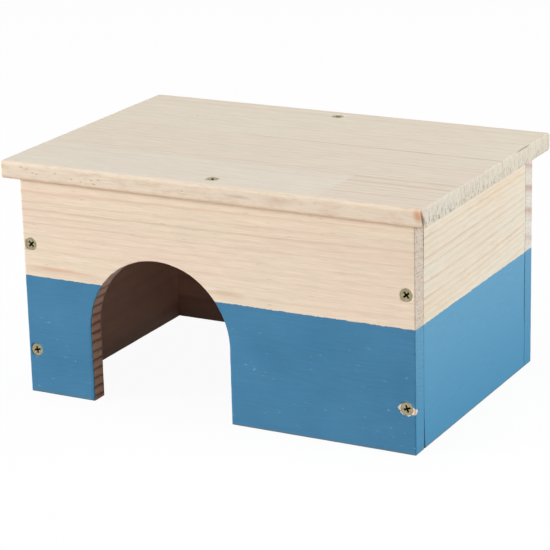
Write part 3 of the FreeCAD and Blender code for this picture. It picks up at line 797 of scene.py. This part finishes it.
def roof_staves(tree, place):
    """Three staves side by side, the front one finger jointed from two pieces, and what marks them: glue
    lines, an orange limb streak at the front right corner, dark flecks along the front edge and a lip left
    at the right end. The front edge shows the rings from their side, so it is pinker. Painted shade tones
    down the highlight on its upper rounding, and painted light lifts its lower rounding, which is in shade,
    to a warm pale tone."""
    x, y, z = (add(tree, "SeparateXYZ", {0: place}, out=axis) for axis in "XYZ")
    back_glue, front_glue = (MM * line for line in ROOF_GLUE_LINES)
    joint = MM * ROOF_FINGER_JOINT
    back = add(tree, "Math", {0: y, 1: back_glue}, operation="GREATER_THAN")
    front = add(tree, "Math", {0: y, 1: front_glue}, operation="LESS_THAN")
    middle, reach = (ROOF_HIGH[0] + joint) / 2, (ROOF_HIGH[0] - joint) / 2
    right = add(tree, "Math", {0: x, 1: middle - MM, 2: reach - MM}, operation="COMPARE")
    front_right = add(tree, "Math", {0: front, 1: right}, operation="MULTIPLY")
    boost = add(tree, "Math", {0: front, 1: -0.6, 2: 1.0}, operation="MULTIPLY_ADD")
    boost = add(tree, "Math", {0: front_right, 1: 1.7, 2: boost}, operation="MULTIPLY_ADD")
    edge = add(tree, "MapRange", {
        "Value": y, "From Min": ROOF_LOW[1] + NOSE, "From Max": ROOF_LOW[1] + 0.3 * NOSE, "To Max": 0.85,
    })
    # Painted light: the lower rounding of the front edge, in shade, is lifted to a warm pale tone.
    under = {"Value": z, "From Min": ROOF_LOW[2] + 2.4 * MM, "From Max": ROOF_LOW[2] + MM, "To Max": 0.9}
    at_front = {"Value": y, "From Min": ROOF_LOW[1] + 2 * NOSE, "From Max": ROOF_LOW[1] + 1.5 * NOSE}
    painted_nose_light = {0: add(tree, "MapRange", under), 1: add(tree, "MapRange", at_front)}
    painted_nose_light = add(tree, "Math", painted_nose_light, operation="MULTIPLY")
    scuff = patches(tree, place, (110, 110, 300), (0.48, 0.72), (0.0, 0.5), detail=3.0, roughness=0.65)
    face, top = ROOF_LOW[1] / MM, ROOF_HIGH[2] / MM
    marks = [
        (add(tree, "Math", {0: back, 1: 0.2}, operation="MULTIPLY"), "#dcd4c0"),
        (add(tree, "Math", {0: front, 1: 0.2}, operation="MULTIPLY"), "#dcdad0"),
        (add(tree, "Math", {0: front_right, 1: 0.3}, operation="MULTIPLY"), "#dac8b6"),
        (edge, "#ecd9c3"),
        (painted_nose_light, "#f6d5b6"),
        (add(tree, "Math", {0: edge, 1: scuff}, operation="MULTIPLY"), "#d2b39b"),
        # Painted shade: a faint darker band along the upper rounding of the front edge, against its
        # highlight.
        (spot(tree, place, (0, face + 0.5, top - 0.5), (300, 2.2, 2.2), soft=0.9, amount=0.4), "#c9bba6"),
    ]
    streaky = add(tree, "Mapping", {"Vector": place, "Scale": (60, 10, 10)})
    uneven = add(tree, "TexNoise", {"Vector": streaky, "Scale": 1.0})
    top_only = {
        "Value": z, "From Min": ROOF_HIGH[2] - 2 * MM, "From Max": ROOF_HIGH[2] - 0.5 * MM, "To Min": 0.25,
    }
    uneven = add(tree, "Math", {0: uneven, 1: add(tree, "MapRange", top_only)}, operation="MULTIPLY")
    for line, start, strength in ((back_glue, -25 * MM, 1.1), (front_glue, 10 * MM, 0.6)):
        shown = {"Value": x, "From Min": start - 8 * MM, "From Max": start + 8 * MM, "To Min": 0.15}
        glue = {0: seam(tree, y, line, 0.55 * MM, strength), 1: add(tree, "MapRange", shown)}
        glue = add(tree, "Math", glue, operation="MULTIPLY")
        marks.append((add(tree, "Math", {0: glue, 1: uneven}, operation="MULTIPLY"), "#a9876b"))
    fingers = {0: seam(tree, x, joint, 0.5 * MM, 0.7), 1: edge}
    fingers = add(tree, "Math", fingers, operation="MULTIPLY")
    marks.append((add(tree, "Math", {0: fingers, 1: scuff}, operation="MULTIPLY"), "#9c7f66"))
    for centre, radii, tilt, soft, amount, shade in (
        ((122.0, face, 130.2), (3.2, 4, 4.6), -20, 0.8, 0.85, "#d09a6e"),
        ((124.6, face, 128.6), (0.8, 3, 6.6), -11, 0.6, 0.8, "#7a5643"),
        ((21, face, 129), (9, 3, 1.4), 0, 0.8, 0.6, "#c4a893"),
        ((44, face, 129.5), (13, 3, 2.4), 0, 0.9, 0.45, "#c9ab97"),
        ((-34, face, 129.5), (10, 3, 2.2), 0, 0.9, 0.35, "#cdb09b"),
        ((-119.4, face, 123.8), (1.3, 4, 0.5), 0, 0.4, 0.8, "#5d564e"),
        ((125, 46, top - 0.2), (1, 13, 0.4), 0, 0.5, 0.8, "#8d866f"),
        ((-76.5, 45.2, top), (0.9, 0.9, 1), 0, 0.6, 0.7, "#b39f84"),
    ):
        marks.append((spot(tree, place, centre, radii, turn=tilt, soft=soft, amount=amount), shade))
    for fleck_x, fleck_z, length in (
        (-112, 131.2, 1.6), (-104.5, 128.8, 1.4), (-102, 128.2, 1.2), (-80, 127.6, 1.3), (-67.5, 128.4, 1.8),
        (-63, 128.9, 1.3), (-66, 126.4, 1.9), (-90, 129.8, 1.0), (-108, 130.4, 0.8), (-74, 126.9, 0.9),
        (-12, 128.6, 1.2),
    ):
        fleck = spot(tree, place, (fleck_x, face, fleck_z), (length, 3, 0.5), turn=6, soft=0.9, amount=0.6)
        marks.append((fleck, "#94816f"))
    torn = {"Value": y, "From Min": -60 * MM, "From Max": 20 * MM, "To Min": 1.0, "To Max": 0.6}
    low = {
        "Value": z, "From Min": ROOF_HIGH[2] - 3 * MM, "From Max": ROOF_LOW[2] + 2 * MM,
        "To Min": 0.3, "To Max": 0.85,
    }
    torn = {0: add(tree, "MapRange", torn), 1: add(tree, "MapRange", low)}
    return 0.0, boost, add(tree, "Math", torn, operation="MULTIPLY"), marks


roof_board.data.materials.append(pine(
    "planed_pine_roof", "XYZ", ROOF_HIGH[0], ROOF_HIGH[2], ROOF_RINGS, slope=0.0, lean=0.2, wander=1.0,
    shades=("#dad0c0", "#c9ad93", "#daccbd", "#ddd6c7"), ends=1.0, seed=21.0, local=roof_staves,
))
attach(roof_board, "root")
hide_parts("roof")

# Wood screws. Ten yellow zinc plated 3.5 x 30 mm screws with flat countersunk heads and a cross recess, cold
# headed and thread rolled. Each is driven flush, and its recess ended up turned at random.
HEAD_RADIUS = 3.5 * MM
CREST = 1.75 * MM
ROOT = 1.2 * MM
SCREW_LENGTH = 30 * MM
POINT = 4 * MM
PITCH = 1.6 * MM
ARM_REACH = 2.0 * MM
ARM_HALF = 0.46 * MM
ARM_SLOPE = 0.14 * MM
RECESS = 1.8 * MM
RIM = 0.16 * MM


def screw_skin(around=72):
    """One grid from the middle of the head to the point. Rows on the head drop where they cross either arm of
    the recess, and rows on the shank swell into a ridge where length / pitch less angle is near a whole
    number."""
    angle = np.linspace(0, 2 * math.pi, around + 1)
    radius = np.concatenate([np.linspace(0, 2.5 * MM, 30), [2.9 * MM, 3.2 * MM, 3.4 * MM]])[:, None]
    x, y = radius * np.cos(angle), radius * np.sin(angle)
    short, long = np.minimum(np.abs(x), np.abs(y)), np.maximum(np.abs(x), np.abs(y))
    wall = np.clip((ARM_HALF - short) / ARM_SLOPE + 0.5, 0, 1)
    wall *= np.clip((ARM_REACH - long) / ARM_SLOPE + 0.5, 0, 1)
    floor = RECESS * (1 - 0.45 * np.clip(radius / ARM_REACH, 0, 1))
    head = joined(x, y, floor * wall)
    rim = np.array([(HEAD_RADIUS, 0.06 * MM), (HEAD_RADIUS, RIM)])
    cone = np.linspace(0, HEAD_RADIUS - ROOT, 7)[1:]
    under = joined(HEAD_RADIUS - cone, RIM + cone)
    rows = np.arange(under[-1, 1] + PITCH / 8, SCREW_LENGTH, PITCH / 8)
    shank = joined(ROOT * np.clip((SCREW_LENGTH - rows) / POINT, 0, 1), rows)
    turned = np.concatenate([rim, under, shank, [(0, SCREW_LENGTH)]])
    length = turned[:, 1:]
    cycle = np.mod(length / PITCH - angle / (2 * math.pi), 1)
    ridge = np.clip(1 - np.abs(cycle - 0.5) / 0.2, 0, 1)
    thread = np.clip((length - 3 * MM) / (2 * MM), 0, 1) * np.clip((SCREW_LENGTH - length) / POINT, 0, 1)
    swell = turned[:, :1] + (CREST - ROOT) * ridge * thread
    skin = np.concatenate([head, joined(swell * np.cos(angle), swell * np.sin(angle), length)])
    skin[:, -1] = skin[:, 0]
    return skin


def mark_recess(mesh, head, inward):
    """Stores on each vertex how far it is down in the recess: 0 on the head, rising to 1 at 0.5 mm deep."""
    depth = (vertex_values(mesh, "co") - head) @ inward
    open_side = (vertex_values(mesh, "normal") @ inward < 0.3) & (depth < RECESS + 0.01 * MM)
    sunk = np.clip(depth / (0.5 * MM), 0, 1) * open_side
    mesh.attributes.new("sunk", "FLOAT", "POINT").data.foreach_set("value", sunk.astype(np.float32))


def yellow_zinc():
    """Yellow chromate over zinc on steel: a dull olive gold, with painted shade making it darker in the
    recess."""
    material = bpy.data.materials.new("yellow_zinc_plate")
    tree = emptied(material)
    place = add(tree, "TexCoord", out="Object")
    mottle = add(tree, "TexNoise", {"Vector": place, "Scale": 900.0, "Detail": 3.0})
    colour = add(
        tree, "ValToRGB", {"Fac": mottle},
        stops=[(0.3, "#8f8768"), (0.55, "#b3a987"), (0.75, "#a79b83")],
    )
    # Painted shade: the recess is darkened the deeper it goes, fully at 0.5 mm.
    recess_shade = add(tree, "Attribute", out="Fac", attribute_name="sunk")
    colour = add(tree, "Mix", {0: recess_shade, 6: colour, 7: "#352f24"}, out=2, data_type="RGBA")
    rough = add(tree, "MapRange", {"Value": mottle, "To Min": 0.35, "To Max": 0.55})
    rough = add(tree, "Math", {0: rough, 1: recess_shade}, operation="MAXIMUM")
    grain = add(tree, "TexNoise", {"Vector": place, "Scale": 4000.0, "Detail": 2.0})
    bump = add(tree, "Bump", {"Height": grain, "Strength": 0.3, "Distance": 0.03 * MM})
    shader = add(
        tree, "BsdfPrincipled", {"Base Color": colour, "Roughness": rough, "Metallic": 0.85, "Normal": bump}
    )
    add(tree, "OutputMaterial", {"Surface": shader})
    return material


zinc = yellow_zinc()
SCREWS = [
    ("front_screw_low_left", 12), ("front_screw_high_left", 45), ("front_screw_low_right", 20),
    ("front_screw_high_right", 40), ("back_screw_low_left", 33), ("back_screw_high_left", 71),
    ("back_screw_low_right", 5), ("back_screw_high_right", 58), ("roof_screw_front", 30),
    ("roof_screw_back", 62),
]
for node, turned in SCREWS:
    low, high = (np.array(corner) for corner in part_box(node))
    head = (low + high) / 2
    if node.startswith("roof"):
        head[2] = high[2]
        across, upward, inward = (1, 0, 0), (0, 1, 0), (0, 0, -1)
    elif node.startswith("front"):
        head[1] = low[1]
        across, upward, inward = (1, 0, 0), (0, 0, 1), (0, 1, 0)
    else:
        head[1] = high[1]
        across, upward, inward = (-1, 0, 0), (0, 0, 1), (0, -1, 0)
    cos, sin = math.cos(math.radians(turned)), math.sin(math.radians(turned))
    spin = np.array([[cos, sin, 0], [-sin, cos, 0], [0, 0, 1]])
    frame_of_screw = spin @ np.array([across, upward, inward], float)
    screw = make_piece(node.replace("screw", "wood_screw"), [head + screw_skin() @ frame_of_screw])
    mark_recess(screw.data, head, np.array(inward, float))
    screw.data.materials.append(zinc)
    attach(screw, "root")
    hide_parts(node)

# Studio. A pale floor under an even white surround, three soft lamps that light one face of the house each,
# and the camera where the photographer's was: in front, to the right and a little above.
FLOOR_HALF = 3.0
floor_us = np.linspace(-FLOOR_HALF, FLOOR_HALF, 5)
studio_floor = make_piece("studio_floor", [joined(floor_us[:, None], floor_us, -0.05 * MM)])
studio_floor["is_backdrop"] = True


def seen_plainly(tree):
    """1 for rays from the camera, off metal and through glass, which see the white background, and 0 for the
    rays that carry light to the house."""
    plainly = 0.0
    for ray in ("Is Camera Ray", "Is Glossy Ray", "Is Transmission Ray"):
        plainly = add(tree, "Math", {0: add(tree, "LightPath", out=ray), 1: plainly}, operation="MAXIMUM")
    return plainly


paper = bpy.data.materials.new("pale_paper")
tree = emptied(paper)
shadowed = add(tree, "BsdfDiffuse", {"Color": "#f4f4f4"})
white = add(tree, "Emission", {"Color": (1, 1, 1, 1), "Strength": 1.0})
pale = add(tree, "MixShader", {0: 0.95, 1: shadowed, 2: white})
dull = add(tree, "BsdfDiffuse", {"Color": "#9a9a9a"})
add(tree, "OutputMaterial", {"Surface": add(tree, "MixShader", {0: seen_plainly(tree), 1: dull, 2: pale})})
studio_floor.data.materials.append(paper)

surround = bpy.data.worlds.new("white_surround")
bpy.context.scene.world = surround
tree = emptied(surround)
dim = add(tree, "Background", {"Color": (1, 1, 1, 1), "Strength": 0.12})
bright = add(tree, "Background", {"Color": (1, 1, 1, 1), "Strength": 1.0})
add(tree, "OutputWorld", {"Surface": add(tree, "MixShader", {0: seen_plainly(tree), 1: dim, 2: bright})})

LAMP_AIM = Vector((0, 0, 80 * MM))


def soft_lamp(name, azimuth, elevation, distance, size, power):
    """A square area lamp at that azimuth and elevation in degrees, facing the middle of the house."""
    light = bpy.data.lights.new(name, "AREA")
    light.size = size
    light.energy = power
    lamp = bpy.data.objects.new(name, light)
    bpy.context.collection.objects.link(lamp)
    a, e = math.radians(azimuth), math.radians(elevation)
    away = Vector((math.sin(a) * math.cos(e), -math.cos(a) * math.cos(e), math.sin(e)))
    lamp.location = LAMP_AIM + distance * away
    lamp.rotation_mode = "QUATERNION"
    lamp.rotation_quaternion = away.to_track_quat("Z", "Y")
    lamp.visible_camera = False
    lamp.visible_glossy = False


soft_lamp("lamp_front_left", azimuth=-52, elevation=12, distance=5.0, size=2.0, power=304)
soft_lamp("lamp_right", azimuth=105, elevation=14, distance=2.2, size=1.2, power=41)
soft_lamp("lamp_above", azimuth=0, elevation=88, distance=2.2, size=1.2, power=25)

bpy.context.scene.view_settings.view_transform = "Standard"
camera_data = bpy.data.cameras.new("camera")
camera_data.sensor_width = 36
camera_data.lens = 150.91
camera = bpy.data.objects.new("camera", camera_data)
bpy.context.collection.objects.link(camera)
azimuth, elevation, roll = math.radians(28.250), math.radians(17.578), math.radians(-1.463)
aim = Matrix.Rotation(azimuth, 4, "Z") @ Matrix.Rotation(math.pi / 2 - elevation, 4, "X")
aim = aim @ Matrix.Rotation(roll, 4, "Z")
camera.matrix_world = Matrix.Translation((0.57526, -1.07823, 0.44684)) @ aim
bpy.context.scene.camera = camera

low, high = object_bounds()
